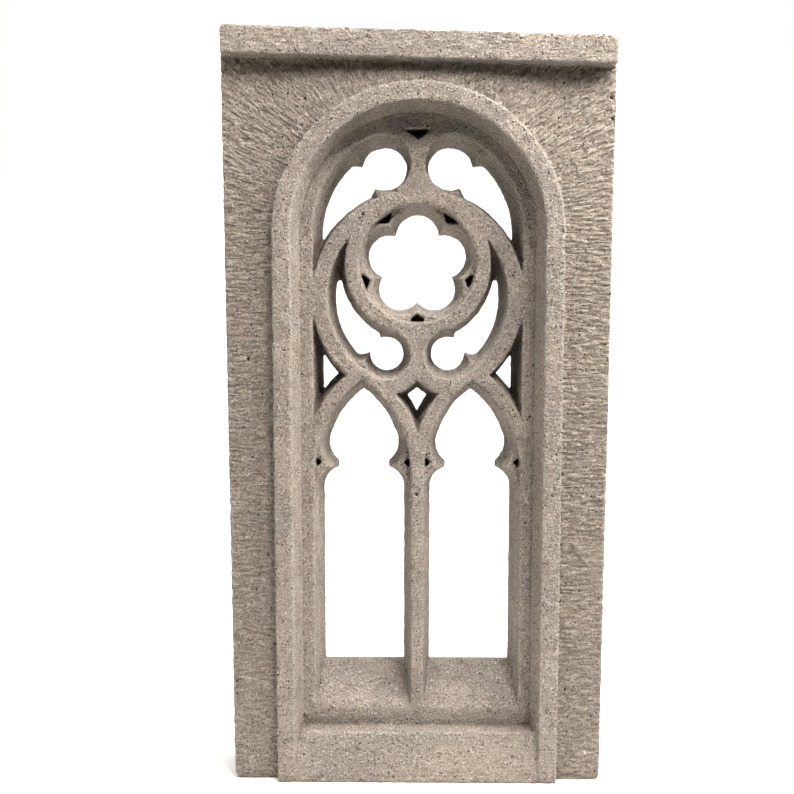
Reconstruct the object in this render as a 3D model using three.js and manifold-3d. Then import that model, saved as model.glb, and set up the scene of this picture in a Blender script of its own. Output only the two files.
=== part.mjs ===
// A small cast-stone window in one piece: a flat slab with a plain ledge across its head, a raised
// round-arched band, a splayed reveal and pierced flowing tracery over two cusped lights. The ledge
// was cast out of level and falls to the right.
// Millimetres, +Z up. The front faces -Y, X = 0 is the centre line, Z = 0 is the underside,
// and Y = 0 is halfway between the front of the ledge and the flat back.

import * as THREE from 'three';
import { mergeVertices } from 'three/addons/utils/BufferGeometryUtils.js';
import Module from 'manifold-3d';

// Slab and ledge
const WIDTH = 409; // across the head
const FOOT_INSET = 3; // how much it narrows at each side on the way down to its foot
const HEIGHT = 808; // at the upper left corner
const DEPTH = 80; // front of the ledge to the back
const LEDGE_INSET = 2.5; // the ledge's ends inside the slab's sides
const LEDGE_HEIGHT = 28;
const LEDGE_REACH = 15; // how far the ledge stands out over the wall face
const LEDGE_FALL = 12; // how much lower the slab's upper right corner lies

// The wall face swells towards the crown of the arch, as a shallow cone.
const SWELL_LIFT = 40; // its centre over the round arch's
const SWELL_RISE = 6.5; // at the band's crown
const SWELL_REACH = 72; // from the band's crown to where it dies into the wall face

// Raised band around the window
const BAND_HALF = 153; // centre line to the band's outer edge
const BAND_WIDTH = 19;
const BAND_RELIEF = 9; // in front of the wall face
const CROWN_GAP = 21; // slab left plain between the band's crown and the ledge
const REVEAL_DEPTH = 28; // from the band's front to the tracery's face
const REVEAL_SPLAY = 7; // how much the reveal narrows on the way
const JAMB_FLAT = 13; // flat margin around the pierced field

// Rail, riser and sill under the lights
const RAIL_HEIGHT = 54;
const RAIL_SET = 8; // its upper edge behind the band's front; its foot is flush with the band
const RISER_HEIGHT = 20;
const SILL_RISE = 41;
const SILL_RUN = 34; // depth of the slope
const SILL_WORN = 4; // how far to either side of its upper edge the slope is worn away
const MULLION_WIDTH = 12.6;

// Every pierced edge leans in by DRAFT over DRAFT_DEPTH, then runs straight out through the back.
const DRAFT = 8;
const DRAFT_DEPTH = 43;
const CUSP_SET = 8; // face of the cusps behind the tracery's face

// Great circle, and the ring that touches it inside at the top
const CIRCLE_DROP = 68; // its centre below the round arch's
const CIRCLE_BAR = 16;
const RING_RADIUS = 78; // outer edge
const RING_BAR = 14;
const PETALS = 5;
const PETAL_CLEAR = 24; // radius at the back

// Lights: pointed outline, and the cusped opening inside it
const LIGHT_DROP = 192; // their springing below the circle's centre
const LIGHT_RISE = 104;
const LIGHT_BAR = 13;
const HEAD_LIFT = 30; // over the springing, where the cusped head's flat arcs begin
const HEAD_HALF = 39.5; // clear half width there
const HEAD_RISE = 61;
const HEAD_ARC = 97; // radius of its arcs
const SHOULDER_CLEAR = 28; // lobes over the cusps
const WAIST_HALF = 28.7; // clear half width between the cusps
const ELBOW_CLEAR = 24; // lobes under the cusps
const ELBOW_DROP = 52; // elbow centres below the shoulder centres
const LIGHT_PIT_DROP = 19; // pit centres below the shoulder centres

// Flowing lights beside the ring. Each has a round head, a throat between two cusps and a tail.
const LOWER_HEAD = 27; // head radius at the face
const LOWER_STEM = 14.6; // stone between the two lower heads
const LOWER_HEAD_BAR = 16; // stone around them
const LOWER_TURN = 145; // direction of the throat, in degrees from +X
const LOWER_TAIL_TURN = 113;
const LOWER_TIP = 19; // end of the tail over the circle's centre, at the back
const LOWER_RUN = 42; // how far the groove past it climbs to reach the tracery's face
const CIRCLE_LEAN = 6.5; // lean of the great circle's inside, in place of DRAFT
const UPPER_HEAD = 31;
const UPPER_STEM = 14;
const STEM_LEAN = 4.5; // lean of the sides of the stem between the upper heads
const STEM_SHIFT = 3; // each head is cut again with that lean, this much nearer to the stem
const UPPER_TURN = 210;
const UPPER_TAIL_TURN = 237;
const THROAT_STEP = 35; // from the head's centre to the next lobe's
const THROAT_CLEAR = 21.2; // clear radius of that lobe

// Three-sided pits sunk in the cusps. Each is given by its long side, which lies along the outline
// that the cusp grows from, and by its rise from there to its point.
const PIT_DEPTH = 13;
const PIT_FLOOR = 0.9; // size of a pit's floor against its mouth
const RING_PIT = 23;
const RING_PIT_TOP = 27; // the two upper ones in the ring
const RING_PIT_RISE = 8.5;
const LIGHT_PIT = 14;
const LIGHT_PIT_RISE = 7.5;
const CROWN_PIT = 32; // at the head of the stem
const CROWN_PIT_RISE = 12;
const CROWN_PIT_DROP = 4; // under the crown of the pierced field

const OVER = 6; // how far a cutting shape runs past the stone
const ARC_ERROR = 0.045; // largest gap between a facet and its true arc

// Planes across the depth
const BACK = DEPTH / 2;
const LEDGE_FRONT = BACK - DEPTH;
const WALL = LEDGE_FRONT + LEDGE_REACH;
const BAND_FRONT = WALL - BAND_RELIEF;
const FACE = BAND_FRONT + REVEAL_DEPTH;
const RAIL_FRONT = BAND_FRONT + RAIL_SET;

// Lines that several shapes share. The underside of the ledge is taken on the centre line.
const UNDER_LEDGE = HEIGHT - LEDGE_FALL / 2 - LEDGE_HEIGHT;
const ARCH_SPRING = UNDER_LEDGE - CROWN_GAP - BAND_HALF;
const CIRCLE_HEIGHT = ARCH_SPRING - CIRCLE_DROP;
const LIGHT_SPRING = CIRCLE_HEIGHT - LIGHT_DROP;
const HEAD_START = LIGHT_SPRING + HEAD_LIFT;
const FIELD_HALF = BAND_HALF - BAND_WIDTH - REVEAL_SPLAY - JAMB_FLAT;
const LIGHT_HALF = (FIELD_HALF - MULLION_WIDTH / 2) / 2;
const LIGHT_AXIS = FIELD_HALF - LIGHT_HALF;
const RISER_TOP = RAIL_HEIGHT + RISER_HEIGHT;
const SILL_TOP = RISER_TOP + SILL_RISE;
const RING_HEIGHT = CIRCLE_HEIGHT + FIELD_HALF - RING_RADIUS;

const wasm = await Module();
wasm.setup();

// Corners that coincide are merged, and the flat triangles at a pole are left out.
function solid(geometry) {
  geometry.deleteAttribute('normal');
  geometry.deleteAttribute('uv');
  const merged = mergeVertices(geometry, 1e-4);
  const index = merged.index.array;
  const triangles = [];
  for (let i = 0; i < index.length; i += 3) {
    const [a, b, c] = [index[i], index[i + 1], index[i + 2]];
    if (a !== b && b !== c && c !== a) triangles.push(a, b, c);
  }
  const vertProperties = new Float32Array(merged.attributes.position.array);
  return new wasm.Manifold(
    new wasm.Mesh({ numProp: 3, vertProperties, triVerts: new Uint32Array(triangles) }),
  );
}

const join = (...parts) => parts.reduce((all, part) => all.add(part));
const common = (...parts) => parts.reduce((all, part) => all.intersect(part));

function box(x0, x1, y0, y1, z0, z1) {
  const geometry = new THREE.BoxGeometry(x1 - x0, y1 - y0, z1 - z0);
  geometry.translate((x0 + x1) / 2, (y0 + y1) / 2, (z0 + z1) / 2);
  return solid(geometry);
}

// A profile is a list of [half width, y] from front to back. It is turned about a depth-wise axis
// for round shapes and run up the height for straight ones, so the two always meet flush.
function round(x, z, profile) {
  const radius = Math.max(...profile.map(([half]) => half));
  const quarter = Math.ceil(Math.PI / 4 / Math.acos(1 - ARC_ERROR / radius));
  const points = profile.map(([half, y]) => new THREE.Vector2(half, y));
  points.unshift(new THREE.Vector2(0, profile[0][1]));
  points.push(new THREE.Vector2(0, profile[profile.length - 1][1]));
  const geometry = new THREE.LatheGeometry(points, 4 * quarter);
  geometry.translate(x, 0, z);
  return solid(geometry);
}

function upright(x, z0, z1, profile) {
  const right = profile.map(([half, y]) => new THREE.Vector2(half, y));
  const left = profile.map(([half, y]) => new THREE.Vector2(-half, y)).reverse();
  const section = new THREE.Shape([...right, ...left]);
  const geometry = new THREE.ExtrudeGeometry(section, { depth: z1 - z0, bevelEnabled: false });
  geometry.translate(x, 0, z0);
  return solid(geometry);
}

// Leaning edges of the pierced work, given by their size at the tracery's face
function leaning(half, draft) {
  const slope = draft / DRAFT_DEPTH;
  const ahead = REVEAL_DEPTH + OVER;
  return [
    [half + slope * ahead, FACE - ahead],
    [half - draft, FACE + DRAFT_DEPTH],
    [half - draft, BACK + OVER],
  ];
}
const disc = (x, z, radius) => round(x, z, leaning(radius, DRAFT));
const foil = (x, z, clear) => disc(x, z, clear + DRAFT);
const drum = (x, z, radius) => round(x, z, leaning(radius, -DRAFT));
const column = (x, half, z0, z1) => upright(x, z0, z1, leaning(half, DRAFT));

// A section in the depth and the height, given as [y, z] and run across the whole width
function across(points) {
  const section = new THREE.Shape(points.map(([y, z]) => new THREE.Vector2(y, z)));
  const geometry = new THREE.ExtrudeGeometry(section, { depth: WIDTH, bevelEnabled: false });
  geometry.applyMatrix4(new THREE.Matrix4().makeBasis(
    new THREE.Vector3(0, 1, 0),
    new THREE.Vector3(0, 0, 1),
    new THREE.Vector3(1, 0, 0),
  ));
  geometry.translate(-WIDTH / 2, 0, 0);
  return solid(geometry);
}

// Everything on one side of a line through (x, z), on the side that the angle points to
function beyond(x, z, degrees) {
  const reach = 2 * HEIGHT;
  const geometry = new THREE.BoxGeometry(reach, 4 * DEPTH, 2 * reach);
  geometry.translate(reach / 2, 0, 0);
  geometry.rotateY(-THREE.MathUtils.degToRad(degrees));
  geometry.translate(x, 0, z);
  return solid(geometry);
}

const step = (degrees, length) => [
  length * Math.cos(THREE.MathUtils.degToRad(degrees)),
  length * Math.sin(THREE.MathUtils.degToRad(degrees)),
];

const mirrored = (part) => part.mirror([1, 0, 0]);
const both = (part) => part.add(mirrored(part));

// Slab with its ledge. Its sides lean out a little towards the head, and the ledge and the top of
// the slab fall to the right together.
function slab() {
  const high = HEIGHT + OVER;
  const foot = WIDTH / 2 - FOOT_INSET;
  const head = foot + (FOOT_INSET * high) / HEIGHT;
  const outline = new THREE.Shape([
    new THREE.Vector2(-foot, 0),
    new THREE.Vector2(foot, 0),
    new THREE.Vector2(head, high),
    new THREE.Vector2(-head, high),
  ]);
  const geometry = new THREE.ExtrudeGeometry(outline, { depth: DEPTH, bevelEnabled: false });
  geometry.rotateX(Math.PI / 2);
  geometry.translate(0, BACK, 0);
  const block = solid(geometry);

  const wall = box(-WIDTH, WIDTH, WALL, 2 * DEPTH, -OVER, high + OVER);
  const crown = BAND_HALF - SWELL_LIFT;
  const swell = round(0, ARCH_SPRING + SWELL_LIFT, [
    [crown, WALL - SWELL_RISE],
    [crown + SWELL_REACH, WALL],
    [crown + SWELL_REACH, WALL + OVER],
  ]);
  const end = WIDTH / 2 - LEDGE_INSET;
  const ledge = box(-end, end, LEDGE_FRONT, WALL + OVER, UNDER_LEDGE, high + LEDGE_FALL);
  const top = UNDER_LEDGE + LEDGE_HEIGHT;
  const under = box(-WIDTH, WIDTH, -DEPTH, DEPTH, -HEIGHT, top);
  const shear = new THREE.Matrix4().makeShear(0, -LEDGE_FALL / WIDTH, 0, 0, 0, 0).toArray();
  return common(block, join(wall, swell, ledge.transform(shear)), under.transform(shear));
}

// Raised band: two uprights and a round arch. The reveal inside it narrows to the tracery's face
// and is filled at the foot by the rail, whose front leans back from the band's.
function band() {
  const profile = [[BAND_HALF, BAND_FRONT], [BAND_HALF, WALL + OVER]];
  return join(upright(0, 0, ARCH_SPRING, profile), round(0, ARCH_SPRING, profile));
}

function reveal() {
  const slope = REVEAL_SPLAY / REVEAL_DEPTH;
  const inner = BAND_HALF - BAND_WIDTH;
  const at = (y) => [inner - slope * (y - BAND_FRONT), y];
  const profile = [at(BAND_FRONT - OVER), at(FACE)];
  const rail = across([
    [BAND_FRONT, 0],
    [FACE + OVER, 0],
    [FACE + OVER, RAIL_HEIGHT],
    [RAIL_FRONT, RAIL_HEIGHT],
  ]);
  return join(round(0, ARCH_SPRING, profile), upright(0, 0, ARCH_SPRING, profile)).subtract(rail);
}

// Stone left standing at the foot of the two lights: a slope, a level lip behind it, and a worn
// edge between them
function sill() {
  return across([
    [FACE - OVER, 0],
    [BACK + 2 * OVER, 0],
    [BACK + 2 * OVER, SILL_TOP],
    [FACE + SILL_RUN + SILL_WORN, SILL_TOP],
    [FACE + SILL_RUN - SILL_WORN, SILL_TOP - (SILL_WORN * SILL_RISE) / SILL_RUN],
    [FACE, RISER_TOP],
    [FACE - OVER, RISER_TOP],
  ]);
}

// The whole field that tracery may fill, inside the flat margin
const field = join(
  disc(0, ARCH_SPRING, FIELD_HALF),
  column(0, FIELD_HALF, RISER_TOP - OVER, ARCH_SPRING),
);

// The two arcs of a pointed head: radius, and how far their centres lie across the axis
const pointed = (half, rise) => (half * half + rise * rise) / (2 * half);
const LIGHT_ARC = pointed(LIGHT_HALF, LIGHT_RISE);
const LIGHT_CROSS = LIGHT_ARC - LIGHT_HALF;

function lens(x, z, cross, radius, from) {
  return common(disc(x - cross, z, radius), disc(x + cross, z, radius), beyond(x, from, 90));
}

// Pointed outline of the left-hand light, without cusps
function lightOutline() {
  return join(
    lens(-LIGHT_AXIS, LIGHT_SPRING, LIGHT_CROSS, LIGHT_ARC, LIGHT_SPRING - OVER),
    column(-LIGHT_AXIS, LIGHT_HALF, RISER_TOP - OVER, LIGHT_SPRING),
  ).subtract(sill());
}

// Its opening: a pointed head over two shoulders, a waist between the cusps, two elbows and the
// straight light. The head's arcs pass through its half width and its apex.
function lightOpening() {
  const x = -LIGHT_AXIS;
  const chord = Math.hypot(HEAD_HALF, HEAD_RISE);
  const lean = Math.atan2(HEAD_RISE, HEAD_HALF);
  const toCentre = Math.sqrt(HEAD_ARC * HEAD_ARC - (chord * chord) / 4);
  const cross = toCentre * Math.sin(lean) - HEAD_HALF / 2;
  const below = toCentre * Math.cos(lean) - HEAD_RISE / 2;
  const head = lens(x, HEAD_START - below, cross, HEAD_ARC + DRAFT, HEAD_START);
  const shoulder = HEAD_HALF - SHOULDER_CLEAR;
  const elbow = LIGHT_HALF - DRAFT - ELBOW_CLEAR;
  const elbowHeight = HEAD_START - ELBOW_DROP;
  return join(
    head,
    foil(x - shoulder, HEAD_START, SHOULDER_CLEAR),
    foil(x + shoulder, HEAD_START, SHOULDER_CLEAR),
    column(x, WAIST_HALF + DRAFT, elbowHeight, HEAD_START + OVER),
    foil(x - elbow, elbowHeight, ELBOW_CLEAR),
    foil(x + elbow, elbowHeight, ELBOW_CLEAR),
    column(x, LIGHT_HALF, RISER_TOP - OVER, elbowHeight),
  ).subtract(sill());
}

// Ring opening: a round outline, and petals that reach its edge around an open middle. The middle
// reaches out to where neighbouring petals meet.
const RING_INNER = RING_RADIUS - RING_BAR;
const ringOutline = () => disc(0, RING_HEIGHT, RING_INNER);

function petals() {
  const reach = RING_INNER - DRAFT - PETAL_CLEAR;
  const all = [foil(0, RING_HEIGHT, reach * Math.cos(Math.PI / PETALS))];
  for (let i = 0; i < PETALS; i += 1) {
    const [x, z] = step(90 + (360 * i) / PETALS, reach);
    all.push(foil(x, RING_HEIGHT + z, PETAL_CLEAR));
  }
  return join(...all);
}

// Flowing lights on the left. The head touches the edge that it lies against.
const CIRCLE_INNER = FIELD_HALF - CIRCLE_BAR;
const LOWER_X = -(LOWER_STEM / 2 + LOWER_HEAD);
const LOWER_Z = CIRCLE_HEIGHT - Math.sqrt((CIRCLE_INNER - LOWER_HEAD) ** 2 - LOWER_X ** 2);
const UPPER_X = -(UPPER_STEM / 2 + UPPER_HEAD);
const UPPER_Z = ARCH_SPRING + Math.sqrt((FIELD_HALF - UPPER_HEAD) ** 2 - UPPER_X ** 2);

const greatCircle = () => drum(0, CIRCLE_HEIGHT, FIELD_HALF);
const ring = () => drum(0, RING_HEIGHT, RING_RADIUS);

function lowerOutline() {
  const inside = round(0, CIRCLE_HEIGHT, leaning(CIRCLE_INNER, CIRCLE_LEAN));
  const crescent = inside.subtract(ring());
  const run = common(crescent, beyond(LOWER_X, LOWER_Z, LOWER_TURN));
  return run.add(disc(LOWER_X, LOWER_Z, LOWER_HEAD));
}

const besideStem = () =>
  round(UPPER_X + STEM_SHIFT, UPPER_Z, leaning(UPPER_HEAD - STEM_SHIFT, STEM_LEAN));

function upperOutline() {
  const crescent = field.subtract(greatCircle());
  const run = common(
    crescent,
    beyond(UPPER_X, UPPER_Z, UPPER_TURN),
    beyond(0, CIRCLE_HEIGHT, 90),
  );
  return join(run, disc(UPPER_X, UPPER_Z, UPPER_HEAD), besideStem());
}

// What of an outline is pierced: the head, the lobe next to it, and the tail past that lobe
function cusped(outline, x, z, head, turn, tailTurn) {
  const [dx, dz] = step(turn, THROAT_STEP);
  const lobe = foil(x + dx, z + dz, THROAT_CLEAR);
  const tail = beyond(x + dx, z + dz, tailTurn);
  return common(outline, join(disc(x, z, head), lobe, tail));
}

// The tail of the lower one runs out in a groove whose floor climbs from the back to the face.
function lowerOpening() {
  const slope = LOWER_RUN / (BACK - FACE);
  const floor = (y) => [y, CIRCLE_HEIGHT + LOWER_TIP + slope * (BACK - y)];
  const [front, rear] = [LEDGE_FRONT - OVER, BACK + 2 * OVER];
  const under = across([[front, 0], [rear, 0], floor(rear), floor(front)]);
  const whole = cusped(lowerOutline(), LOWER_X, LOWER_Z, LOWER_HEAD, LOWER_TURN, LOWER_TAIL_TURN);
  return whole.intersect(under);
}

function upperOpening() {
  const outline = upperOutline();
  const whole = cusped(outline, UPPER_X, UPPER_Z, UPPER_HEAD, UPPER_TURN, UPPER_TAIL_TURN);
  return whole.add(besideStem());
}

// Stone arch over each light, as the drums of its two arcs: the one that leans over the mullion
// and the one that leans over the jamb
const archOver = (x) => drum(x, LIGHT_SPRING, LIGHT_ARC + LIGHT_BAR);
const overMullion = () => archOver(-LIGHT_AXIS - LIGHT_CROSS);
const overJamb = () => archOver(-LIGHT_AXIS + LIGHT_CROSS);

// Three-sided light between the jamb, the great circle and the left-hand arch
function spandrelOpening() {
  const beside = box(-WIDTH / 2, -LIGHT_AXIS, -2 * DEPTH, 2 * DEPTH, LIGHT_SPRING, CIRCLE_HEIGHT);
  return common(field, beside).subtract(greatCircle()).subtract(overJamb());
}

// Four-sided light under the stem, between the two lower heads and the two arches
function diamondOpening() {
  const half = -LOWER_X + OVER;
  const between = box(-half, half, -2 * DEPTH, 2 * DEPTH, LIGHT_SPRING, LOWER_Z);
  const around = drum(LOWER_X, LOWER_Z, LOWER_HEAD + LOWER_HEAD_BAR);
  return between.subtract(both(around)).subtract(both(overMullion()));
}

// A three-sided pit, its long side along an edge at (x, z) and its point turned to the angle
function pit(x, z, degrees, width, height, from) {
  const geometry = new THREE.CylinderGeometry(PIT_FLOOR, 1, PIT_DEPTH + OVER / 2, 3);
  geometry.translate(0, (PIT_DEPTH - OVER / 2) / 2, 0.5);
  geometry.scale(width / Math.sqrt(3), 1, height / 1.5);
  geometry.rotateY(THREE.MathUtils.degToRad(90 - degrees));
  geometry.translate(x, from, z);
  return solid(geometry);
}

// The pits lie just inside the outline that the cusp grows from, at the depth of the cusp's face.
const PIT_INSET = (DRAFT * CUSP_SET) / DRAFT_DEPTH + 0.3;
const CUSP_FACE = FACE + CUSP_SET;

function pits() {
  const all = [];
  for (let i = 0; i < PETALS; i += 1) {
    const angle = 270 + (360 * i) / PETALS;
    const upper = step(angle, 2)[1] > 1;
    const width = upper ? RING_PIT_TOP : RING_PIT;
    const [x, dz] = step(angle, RING_INNER - PIT_INSET);
    all.push(pit(x, RING_HEIGHT + dz, angle + 180, width, RING_PIT_RISE, CUSP_FACE));
  }
  const height = HEAD_START - LIGHT_PIT_DROP;
  const edge = LIGHT_HALF - PIT_INSET;
  const left = [
    pit(-LIGHT_AXIS - edge, height, 0, LIGHT_PIT, LIGHT_PIT_RISE, CUSP_FACE),
    pit(-LIGHT_AXIS + edge, height, 180, LIGHT_PIT, LIGHT_PIT_RISE, CUSP_FACE),
  ];
  const crownHeight = ARCH_SPRING + FIELD_HALF - CROWN_PIT_DROP;
  const crown = pit(0, crownHeight, 270, CROWN_PIT, CROWN_PIT_RISE, FACE);
  return join(...all, ...left.map(both), crown);
}

// The cusps grow out of the plain outlines, behind the tracery's face.
function windowFrame() {
  const outlines = join(
    ringOutline(),
    both(lightOutline()),
    both(lowerOutline()),
    both(upperOutline()),
  );
  const sunk = box(-WIDTH, WIDTH, FACE - OVER, CUSP_FACE, 0, HEIGHT);
  const openings = join(
    petals(),
    both(lightOpening()),
    both(lowerOpening()),
    both(upperOpening()),
    both(spandrelOpening()),
    diamondOpening(),
  );
  return slab()
    .add(band())
    .subtract(reveal())
    .subtract(common(outlines, sunk))
    .subtract(openings)
    .subtract(pits());
}

function toGeometry(body) {
  const mesh = body.getMesh();
  const geometry = new THREE.BufferGeometry();
  geometry.setAttribute('position', new THREE.BufferAttribute(mesh.vertProperties, 3));
  geometry.setIndex(new THREE.BufferAttribute(mesh.triVerts, 1));
  geometry.computeVertexNormals();
  return geometry;
}

const stone = new THREE.MeshStandardMaterial({ color: 0xb5a796, roughness: 0.95, metalness: 0 });
const windowMesh = new THREE.Mesh(toGeometry(windowFrame()), stone);
windowMesh.name = 'window_frame';

const part = new THREE.Group();
part.add(windowMesh);

export default part;
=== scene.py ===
"""A small cast-stone tracery window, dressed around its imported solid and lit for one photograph.

Metres, in the part's own frame: +X to the right of the carved front, +Y to the flat back, +Z up.
"""

import math

import bpy
import numpy as np
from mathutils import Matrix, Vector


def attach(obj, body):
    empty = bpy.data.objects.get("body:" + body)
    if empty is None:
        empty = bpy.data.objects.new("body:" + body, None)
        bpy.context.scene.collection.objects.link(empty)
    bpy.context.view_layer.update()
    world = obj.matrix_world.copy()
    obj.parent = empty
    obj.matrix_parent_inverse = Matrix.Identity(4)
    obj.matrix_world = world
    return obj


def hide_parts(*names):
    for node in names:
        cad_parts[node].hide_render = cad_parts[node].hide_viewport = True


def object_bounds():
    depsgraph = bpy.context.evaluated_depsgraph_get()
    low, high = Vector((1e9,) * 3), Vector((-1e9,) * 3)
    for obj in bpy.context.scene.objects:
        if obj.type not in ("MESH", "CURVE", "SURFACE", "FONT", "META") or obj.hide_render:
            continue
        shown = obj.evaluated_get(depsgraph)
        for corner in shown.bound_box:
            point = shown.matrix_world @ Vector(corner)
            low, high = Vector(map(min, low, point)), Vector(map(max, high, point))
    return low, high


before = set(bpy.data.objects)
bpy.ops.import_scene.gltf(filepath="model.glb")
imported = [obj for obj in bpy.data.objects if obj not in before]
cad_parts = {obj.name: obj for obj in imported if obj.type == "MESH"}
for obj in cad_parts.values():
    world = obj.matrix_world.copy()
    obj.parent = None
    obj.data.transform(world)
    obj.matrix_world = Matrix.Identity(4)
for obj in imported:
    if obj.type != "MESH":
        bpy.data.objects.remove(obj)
cad_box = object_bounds()

# The stone
# The window is one casting of crushed limestone, sand and cement. Its faces came out of the mould
# sandy and pitted, its arrises have been rubbed soft, and its lower corners are worn away. The skin
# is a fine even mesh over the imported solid, so that the wear can be modelled on it.

SKIN_GRID = 0.0012  # spacing of the skin's mesh
ARRIS_ROUNDS = 2  # rounds of smoothing, each taking about a third of a millimetre off an arris
ARRIS_SHARE = 0.5  # how far a round moves a point towards the middle of its neighbours

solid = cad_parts["window_frame"]
stone = bpy.data.objects.new("cast_stone", solid.data.copy())
bpy.context.scene.collection.objects.link(stone)


def keep_shape(piece):
    """Makes what the piece's modifiers give into its mesh."""
    bpy.context.view_layer.update()
    shape = piece.evaluated_get(bpy.context.evaluated_depsgraph_get())
    piece.data = bpy.data.meshes.new_from_object(shape)
    piece.modifiers.clear()


skin = stone.modifiers.new("skin", "REMESH")
skin.mode = "VOXEL"
skin.voxel_size = SKIN_GRID
rubbed = stone.modifiers.new("rubbed", "SMOOTH")
rubbed.factor = ARRIS_SHARE
rubbed.iterations = ARRIS_ROUNDS
keep_shape(stone)


def points_of(mesh):
    """The mesh's points as rows of x, y, z."""
    flat = np.empty(len(mesh.vertices) * 3)
    mesh.vertices.foreach_get("co", flat)
    return flat.reshape(-1, 3)


RUB_SPREAD = 2  # rounds that carry the rubbing of an arris to the stone beside it


def sharpness(mesh):
    """How far each point stands out over its neighbours, in metres: an arris is positive and an
    inner corner negative."""
    pairs = np.empty(len(mesh.edges) * 2, int)
    mesh.edges.foreach_get("vertices", pairs)
    a, b = pairs.reshape(-1, 2).T
    points = points_of(mesh)
    normals = np.empty(len(points) * 3)
    mesh.vertices.foreach_get("normal", normals)
    count = np.bincount(pairs, minlength=len(points))

    def around(values):
        return (
            np.bincount(a, values[b], minlength=len(values))
            + np.bincount(b, values[a], minlength=len(values))
        ) / count

    hollow = points - np.stack([around(column) for column in points.T], axis=1)
    out = (hollow * normals.reshape(-1, 3)).sum(1)
    for _ in range(RUB_SPREAD):
        out = (out + around(out)) / 2
    return out


ARRIS = 0.00010  # how far the points of a rubbed arris stand out over their neighbours

# Positive on an arris and negative in an inner corner. The material pales the arrises, partly as real
# wear and partly as a painted highlight, and darkens the inner corners with painted shade.
wear_and_painted_light = stone.data.attributes.new("wear_and_painted_light", "FLOAT", "POINT")
wear_and_painted_light.data.foreach_set("value", np.clip(sharpness(stone.data) / ARRIS, -1, 1))

# The slab is a little narrower at its foot than at its head, and its corners are rounded. The lower
# left one has also lost its arris over the width of the slab beside the band, so that the front
# edge climbs towards the corner.

WALL_FACE = -0.025  # front of the flat slab
FOOT_HALF = 0.2015  # half the width of the slab at its foot
LEDGE_HALF = 0.202  # half the width of the ledge across its head
LEDGE_FALL = 0.012  # how much lower the ledge lies at its right-hand end
FOOT_ROUND = 0.0080  # radius of the lower corners, seen from the front
HEAD_ROUND = 0.0045  # and of the upper ones
LEFT_LOSS = 0.0025  # height lost at the lower left corner
LEFT_REACH = 0.046  # how far along the edge it runs
LOSS_DEPTH = 0.030  # how far back it runs under the slab
LOSS_CURVE = 1.5  # how steeply it deepens towards the corner: 1 is a straight slope

head_half, _, head_height = cad_box[1]
points = points_of(stone.data)
x, y, z = points.T
along = np.clip((-x - (FOOT_HALF - LEFT_REACH)) / LEFT_REACH, 0, 1)
back = np.clip(1 - (y - WALL_FACE) / LOSS_DEPTH, 0, 1)
loss = LEFT_LOSS * along**LOSS_CURVE * back**LOSS_CURVE
z[:] = np.maximum(z, loss)
head_edge = head_height - LEDGE_FALL * (x + head_half) / (2 * head_half)
head_side = np.where(y < WALL_FACE, LEDGE_HALF, head_half)
for side in (-1, 1):
    for end, edge, half, radius in (
        (-1, loss, FOOT_HALF, FOOT_ROUND),
        (1, head_edge, head_side, HEAD_ROUND),
    ):
        over = np.maximum(side * x - (half - radius), 0)
        past = np.maximum(end * (z - edge) + radius, 0)
        far = np.hypot(over, past)
        too_far = 1 - radius / np.maximum(far, radius)
        both = (over > 0) & (past > 0)
        x[both] -= (side * over * too_far)[both]
        z[both] -= (end * past * too_far)[both]
stone.data.vertices.foreach_set("co", points.ravel())

# The slab's face was dragged with a comb chisel while it was green. The strokes lie level beside
# the uprights and fan out around the arch. The ledge and the rail were only struck off level.

BAND_OUTER = 0.153  # outer edge of the raised band, from the centre line
BAND_INNER = 0.134  # and its inner edge
ARCH_SPRING = 0.600  # height at which the band's uprights turn into the arch
LEDGE_UNDER = 0.774  # underside of the ledge on the centre line
RAIL_TOP = 0.054  # upper edge of the rail at the foot of the window
FURROW = 0.0030  # width of one stroke
FURROW_RUN = 0.016  # length over which one stroke stays the same
FAN_RADIUS = 0.200  # distance from the arch's centre at which fanned strokes keep their spacing
STRUCK = 0.25  # how strongly the ledge and the rail show their strokes
TOOL_START = 0.0015  # width over which the strokes begin beside the band
FACING_MIN = 0.5  # how squarely a face looks forward where its strokes start
FACING_SPAN = 0.3  # and how much more squarely where they are whole

normals = np.empty(len(points) * 3)
stone.data.vertices.foreach_get("normal", normals)
frontal = np.clip((-normals.reshape(-1, 3)[:, 1] - FACING_MIN) / FACING_SPAN, 0, 1)
on_ledge = z > LEDGE_UNDER - LEDGE_FALL * x / (2 * head_half)
spring = np.where(on_ledge, head_height, ARCH_SPRING)
over_spring = np.maximum(z - spring, 0)
from_centre = np.hypot(x, over_spring)
height = np.minimum(z, spring) + FAN_RADIUS * np.arctan2(over_spring, np.abs(x))
comb_place = np.stack([height / FURROW, from_centre / FURROW_RUN, np.sign(x)], axis=1)
past_band = np.hypot(x, np.maximum(z - ARCH_SPRING, 0)) - BAND_OUTER
on_slab = np.clip(past_band / TOOL_START, 0, 1)
on_rail = (np.abs(x) < BAND_INNER) & (z < RAIL_TOP)
strength = np.where(on_ledge | on_rail, STRUCK, on_slab) * frontal

comb = stone.data.attributes.new("comb", "FLOAT_VECTOR", "POINT")
comb.data.foreach_set("vector", comb_place.ravel())
tooled = stone.data.attributes.new("tooled", "FLOAT", "POINT")
tooled.data.foreach_set("value", strength)


def add(tree, kind, inputs=(), **settings):
    """Adds a node with its settings, gives its inputs a value or a link each, and hands back its
    outputs."""
    made = tree.nodes.new(kind)
    for name, value in settings.items():
        setattr(made, name, value)
    for name, value in dict(inputs).items():
        if isinstance(value, bpy.types.NodeSocket):
            tree.links.new(value, made.inputs[name])
        else:
            made.inputs[name].default_value = value
    return made.outputs


RIDGE = 0.36  # level of the noise on the ridge of a furrow
BOTTOM = 0.64  # and at its bottom


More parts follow.
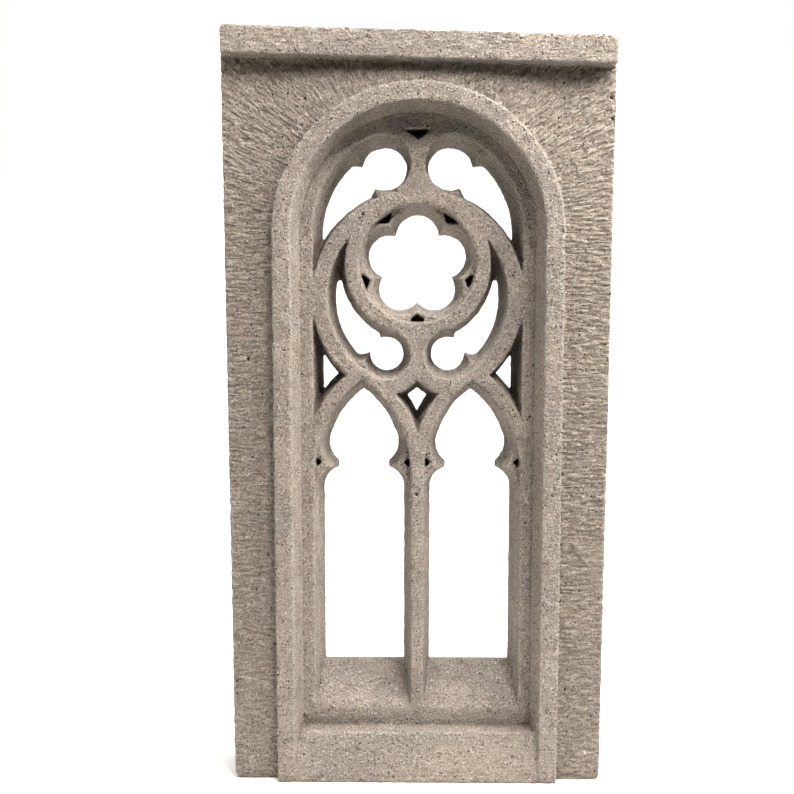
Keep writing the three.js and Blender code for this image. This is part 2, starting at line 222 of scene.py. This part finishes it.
def furrows(tree, comb, tooled):
    """The strokes of the comb chisel: one along the bottom of a furrow and nought on its ridges."""
    strokes = add(
        tree,
        "ShaderNodeTexNoise",
        {"Vector": comb, "Scale": 1.0, "Detail": 4.0, "Roughness": 0.60},
    )[0]
    cut = add(
        tree,
        "ShaderNodeMapRange",
        {"Value": strokes, "From Min": RIDGE, "From Max": BOTTOM},
        interpolation_type="SMOOTHSTEP",
    )[0]
    return add(tree, "ShaderNodeMath", {0: cut, 1: tooled}, operation="MULTIPLY")[0]


def pores(tree, place, spacing, share, radius):
    """Bowls left by trapped air, in that share of the cells of a scatter with that spacing: one at
    the middle of a bowl and nought outside it. The largest has that radius."""
    cells = add(tree, "ShaderNodeTexVoronoi", {"Vector": place, "Scale": 1 / spacing})
    chance = add(tree, "ShaderNodeSeparateXYZ", {0: cells["Color"]})[0]
    reach = add(
        tree,
        "ShaderNodeMapRange",
        {"Value": chance, "From Max": share, "To Min": radius / spacing, "To Max": 0.0},
    )[0]
    return add(
        tree,
        "ShaderNodeMapRange",
        {"Value": cells["Distance"], "From Min": reach, "From Max": 0.0},
        interpolation_type="SMOOTHSTEP",
    )[0]


# The furrows, the sandy tooth that breaks every outline, the shallow waves of the mould and the
# larger blowholes are cut into the mesh. Only the back, which was struck off flat, has none. The
# mesh is then thinned where the stone is flat.

FURROW_DEPTH = 0.0010
TOOTH_SIZE = 0.0034  # from one bump of the sandy tooth to the next
TOOTH_DEPTH = 0.0017
WAVE_SIZE = 0.012  # from one shallow wave to the next
WAVE_DEPTH = 0.0022
BLOWHOLES = (0.0200, 0.7, 0.0030)  # spacing, share and radius of the larger pores
BLOWHOLE_DEPTH = 0.0022
BACK_FACE = 0.039  # what lies behind this is the back
TRIANGLES = 190_000  # faces that the thinned mesh keeps

cutting = bpy.data.node_groups.new("tooling, tooth and blowholes", "GeometryNodeTree")
for way in ("INPUT", "OUTPUT"):
    cutting.interface.new_socket("Geometry", in_out=way, socket_type="NodeSocketGeometry")
shape = add(cutting, "NodeGroupInput")[0]
spot = add(cutting, "GeometryNodeInputPosition")[0]
outward = add(cutting, "GeometryNodeInputNormal")[0]
depth_in = add(cutting, "ShaderNodeSeparateXYZ", {0: spot})[1]
carved = add(cutting, "FunctionNodeCompare", {0: depth_in, 1: BACK_FACE}, operation="LESS_THAN")[0]
strokes = furrows(
    cutting,
    add(cutting, "GeometryNodeInputNamedAttribute", {"Name": "comb"}, data_type="FLOAT_VECTOR")[0],
    add(cutting, "GeometryNodeInputNamedAttribute", {"Name": "tooled"})[0],
)
tooth = add(cutting, "ShaderNodeTexNoise", {"Vector": spot, "Scale": 1 / TOOTH_SIZE, "Detail": 1.0})[0]
waves = add(cutting, "ShaderNodeTexNoise", {"Vector": spot, "Scale": 1 / WAVE_SIZE, "Detail": 1.0})[0]
holes = pores(cutting, spot, *BLOWHOLES)

# pattern, its mean, and how deep it is cut
for pattern, middle, depth in (
    (strokes, 0.3, FURROW_DEPTH),
    (tooth, 0.5, TOOTH_DEPTH),
    (waves, 0.5, WAVE_DEPTH),
    (holes, 0.0, BLOWHOLE_DEPTH),
):
    push = add(
        cutting,
        "ShaderNodeMath",
        {0: pattern, 1: -depth, 2: middle * depth},
        operation="MULTIPLY_ADD",
    )[0]
    move = add(cutting, "ShaderNodeVectorMath", {0: outward, "Scale": push}, operation="SCALE")[0]
    shape = add(
        cutting,
        "GeometryNodeSetPosition",
        {"Geometry": shape, "Selection": carved, "Offset": move},
    )[0]
add(cutting, "NodeGroupOutput", {0: shape})
dressed = stone.modifiers.new("dressed", "NODES")
dressed.node_group = cutting
keep_shape(stone)
stone.data.calc_loop_triangles()
thinned = stone.modifiers.new("thinned", "DECIMATE")
thinned.ratio = min(1, TRIANGLES / len(stone.data.loop_triangles))
keep_shape(stone)
stone.data.polygons.foreach_set("use_smooth", [True] * len(stone.data.polygons))

# Cast stone: pale limestone grit in a warm cement, released from its mould with a sandy face. It is
# matt, with a mottled buff-grey colour and paler grit where the comb has torn the skin. Arrises that
# hands have rubbed are paler, partly from that wear and partly as a painted highlight. Painted shade
# darkens the pores where air was trapped, the gaps between grains, the bottoms of the furrows and the
# inner corners, and a painted brown shade lies in the deepest places.


def linear(code):
    """A colour written as in a paint chart, turned to the linear values that light works with."""
    parts = (int(code[i : i + 2], 16) / 255 for i in (1, 3, 5))
    return (*((c / 12.92 if c <= 0.04045 else ((c + 0.055) / 1.055) ** 2.4) for c in parts), 1)


BUFF = "#b7a99b"  # the mix where it is rich in sand
GREY = "#a69c91"  # and where it is rich in cement
# The next colour is also laid into the bottoms of the comb's furrows as painted shade.
RUST_AND_FURROW_SHADE = "#8f7863"  # damp stains and iron in the sand
# The next colour also paints the highlight along the rubbed arrises.
CHALK_AND_HIGHLIGHT = "#ece5da"  # grains of crushed limestone
# The next colour is painted shade: the dark laid into pores, into the gaps between grains and into
# inner corners.
PAINTED_HOLLOW_SHADE = "#221c17"  # the dark inside of a pore
# The next colour is a painted brown shade, laid over the deepest hollows.
PAINTED_DEEP_SHADE = "#5a3f2b"
SAND = "#dccab7"  # the paler mix under the torn skin

limestone = bpy.data.materials.new("cast limestone, sandy face")
limestone.use_nodes = True
tree = limestone.node_tree
tree.nodes.clear()
place = add(tree, "ShaderNodeTexCoord")["Object"]

# Sand grains under a millimetre across, in a grit of 2 to 3 mm. Both are drawn about twice as coarse,
# so that they show.
GRAIN = 0.0020
GRIT = 0.0052
grain, grain_colour = add(
    tree, "ShaderNodeTexNoise", {"Vector": place, "Scale": 1 / GRAIN, "Detail": 3.0, "Roughness": 0.65}
)
grit = add(
    tree, "ShaderNodeTexNoise", {"Vector": place, "Scale": 1 / GRIT, "Detail": 2.0, "Roughness": 0.6}
)[0]
torn = add(tree, "ShaderNodeAttribute", attribute_name="tooled")["Fac"]
stroke_lines = furrows(
    tree,
    add(tree, "ShaderNodeAttribute", attribute_name="comb")["Vector"],
    torn,
)

# Grains break the rims of the pores. The pinholes and the gaps between grains are too fine for the
# mesh, and the gaps are drawn about twice their size, so that they show.
RAGGED = 0.0016  # how far a grain moves a rim
PINHOLES = (0.0052, 0.8, 0.0015)  # spacing, share and radius
GAPS = (0.0028, 1.0, 0.0013)
ragged = add(
    tree,
    "ShaderNodeVectorMath",
    {0: grain_colour, 1: (RAGGED, RAGGED, RAGGED), 2: place},
    operation="MULTIPLY_ADD",
)[0]
pinholes = pores(tree, ragged, *PINHOLES)
blowholes = pores(tree, ragged, *BLOWHOLES)
gaps = pores(tree, ragged, *GAPS)
air = add(tree, "ShaderNodeMath", {0: pinholes, 1: blowholes}, operation="MAXIMUM")[0]

# The heights are several times the real ones, because the picture softens them. A negative one is a
# hollow.
surface = None
for pattern, height in (
    (grit, 0.0060),
    (grain, 0.0064),
    (gaps, -0.0050),
    (stroke_lines, -0.0036),
    (air, -0.0044),
):
    relief = {"Height": pattern, "Distance": abs(height), "Strength": 1.0}
    if surface:
        relief["Normal"] = surface
    surface = add(tree, "ShaderNodeBump", relief, invert=height < 0)[0]

# The mix was a little uneven, in patches as wide as a hand, and damp has left small rusty stains.
PATCH = 0.070
STAIN = 0.015
patches = add(
    tree, "ShaderNodeTexNoise", {"Vector": place, "Scale": 1 / PATCH, "Detail": 3.0, "Roughness": 0.6}
)[0]
stains = add(
    tree, "ShaderNodeTexNoise", {"Vector": place, "Scale": 1 / STAIN, "Detail": 4.0, "Roughness": 0.65}
)[0]
arris_light_and_wear = add(tree, "ShaderNodeAttribute", attribute_name="wear_and_painted_light")["Fac"]

# Painted shade: a dark brown is laid over the deepest hollows, such as the pits beside the cusps,
# where other stone stands close around.
SHELTER = 0.040  # how near that stone is
shelter_for_painted_shade = add(tree, "ShaderNodeAmbientOcclusion", {"Distance": SHELTER}, samples=4)["AO"]

# Each row lays a colour over those before it: where its pattern goes from the first value to the
# second, and how strongly.
colour = linear(GREY)
for pattern, start, end, most, over in (
    (patches, 0.38, 0.62, 1.0, BUFF),
    (stains, 0.50, 0.70, 0.45, RUST_AND_FURROW_SHADE),
    (torn, 0.0, 1.0, 0.30, SAND),
    # Painted shade in the bottoms of the furrows.
    (stroke_lines, 0.4, 1.0, 0.45, RUST_AND_FURROW_SHADE),
    # Painted shade in the gaps between grains.
    (gaps, 0.15, 0.6, 0.9, PAINTED_HOLLOW_SHADE),
    (grain, 0.53, 0.66, 0.65, CHALK_AND_HIGHLIGHT),
    # Painted brown shade in the deepest hollows.
    (shelter_for_painted_shade, 0.58, 0.15, 0.60, PAINTED_DEEP_SHADE),
    (grain, 0.46, 0.32, 0.6, RUST_AND_FURROW_SHADE),
    # Rubbed arrises are paler, partly worn and partly a painted highlight; inner corners are darkened
    # with painted shade.
    (arris_light_and_wear, 0.25, 0.9, 0.18, CHALK_AND_HIGHLIGHT),
    (arris_light_and_wear, -0.35, -1.0, 0.30, PAINTED_HOLLOW_SHADE),
    # Painted shade inside the pores.
    (air, 0.05, 0.45, 0.9, PAINTED_HOLLOW_SHADE),
):
    share = add(
        tree,
        "ShaderNodeMapRange",
        {"Value": pattern, "From Min": start, "From Max": end, "To Max": most},
        interpolation_type="SMOOTHSTEP",
    )[0]
    colour = add(tree, "ShaderNodeMix", {0: share, 6: colour, 7: linear(over)}, data_type="RGBA")[2]

finish = add(
    tree,
    "ShaderNodeBsdfPrincipled",
    {"Base Color": colour, "Roughness": 0.92, "Specular IOR Level": 0.25, "Normal": surface},
)[0]
add(tree, "ShaderNodeOutputMaterial", {0: finish})
stone.data.materials.clear()
stone.data.materials.append(limestone)

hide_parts("window_frame")
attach(stone, "root")

# The paper
# A roll of pale uncoated paper lies under the window and is swept up behind it, so that the
# background has no horizon.

PAPER_HALF = 3.0  # half the width of the roll
PAPER_FRONT = -0.6
PAPER_BEND = 1.2  # where the paper starts to rise, and the radius of its bend
PAPER_TOP = 3.5
BEND_POINTS = 17
PAPER_WHITE = "#e9e8e6"

bend = [
    (PAPER_BEND + PAPER_BEND * math.sin(a), PAPER_BEND - PAPER_BEND * math.cos(a))
    for a in np.linspace(0, math.pi / 2, BEND_POINTS)
]
profile = [(PAPER_FRONT, 0.0), *bend, (2 * PAPER_BEND, PAPER_TOP)]
paper_points = [(s * PAPER_HALF, y, z) for y, z in profile for s in (-1, 1)]
paper_faces = [(2 * i, 2 * i + 1, 2 * i + 3, 2 * i + 2) for i in range(len(profile) - 1)]
paper_mesh = bpy.data.meshes.new("paper")
paper_mesh.from_pydata(paper_points, [], paper_faces)
paper_mesh.polygons.foreach_set("use_smooth", [True] * len(paper_faces))
paper = bpy.data.objects.new("paper", paper_mesh)
bpy.context.scene.collection.objects.link(paper)

# Uncoated paper: an even near-white without any gloss, so that no lamp shows in it.
backing = bpy.data.materials.new("uncoated background paper")
backing.use_nodes = True
sheet = backing.node_tree.nodes["Principled BSDF"]
sheet.inputs["Base Color"].default_value = linear(PAPER_WHITE)
sheet.inputs["Roughness"].default_value = 1.0
sheet.inputs["Specular IOR Level"].default_value = 0.0
paper_mesh.materials.append(backing)

# The light
# Soft daylight comes from high on the right, and a nearer lamp rakes over the tooling from the
# right. The ceiling and a pale wall on the left throw some back, and one more lamp lights the paper.

WINDOW_MIDDLE = (0, 0, 0.45)
PAPER_MIDDLE = (0, 2.0, 0.9)
DAYLIGHT = "#fffdfa"
WHITE = "#ffffff"
SKY = "#f4f6fa"
ROOM_LIGHT = 0.02  # strength of what comes from all around

# name, place, target, size, power and tint
LAMPS = (
    ("window_light", (0.65, -1.0, 2.0), WINDOW_MIDDLE, 0.5, 39, DAYLIGHT),
    ("side_light", (0.8, -0.25, 1.3), WINDOW_MIDDLE, 0.4, 27, DAYLIGHT),
    ("ceiling", (0.1, -0.35, 2.2), WINDOW_MIDDLE, 1.2, 38, DAYLIGHT),
    ("left_wall", (-1.5, -0.5, 1.6), WINDOW_MIDDLE, 0.9, 19, DAYLIGHT),
    ("background_light", (0.0, 0.9, 2.6), PAPER_MIDDLE, 2.0, 64, WHITE),
)

for name, place, target, size, power, tint in LAMPS:
    lamp = bpy.data.lights.new(name, "AREA")
    lamp.size = size
    lamp.energy = power
    lamp.color = linear(tint)[:3]
    held = bpy.data.objects.new(name, lamp)
    held.location = place
    aim = np.subtract(target, place)
    held.rotation_euler = (
        math.atan2(math.hypot(aim[0], aim[1]), -aim[2]),
        0,
        math.atan2(-aim[0], aim[1]),
    )
    bpy.context.scene.collection.objects.link(held)

room = bpy.data.worlds.new("room")
room.use_nodes = True
surroundings = room.node_tree.nodes["Background"]
surroundings.inputs["Color"].default_value = linear(SKY)
surroundings.inputs["Strength"].default_value = ROOM_LIGHT
bpy.context.scene.world = room
bpy.context.scene.view_settings.view_transform = "Standard"

# The camera
# It stands a metre in front of the window, about level with the great circle, and looks slightly
# down. Its place and its lens were fitted to the photograph.

FOCAL = 920.4 / 794  # focal length as a share of the picture's width
SENSOR = 36  # width of the sensor in millimetres
STAND = (-0.0106, -1.0033, 0.5193)
LOOKS_DOWN = 5.433  # in degrees
LOOKS_LEFT = 0.667

camera_data = bpy.data.cameras.new("camera")
camera_data.sensor_width = SENSOR
camera_data.lens = SENSOR * FOCAL
camera = bpy.data.objects.new("camera", camera_data)
camera.location = STAND
camera.rotation_euler = (math.radians(90 - LOOKS_DOWN), 0, math.radians(LOOKS_LEFT))
bpy.context.scene.collection.objects.link(camera)
bpy.context.scene.camera = camera
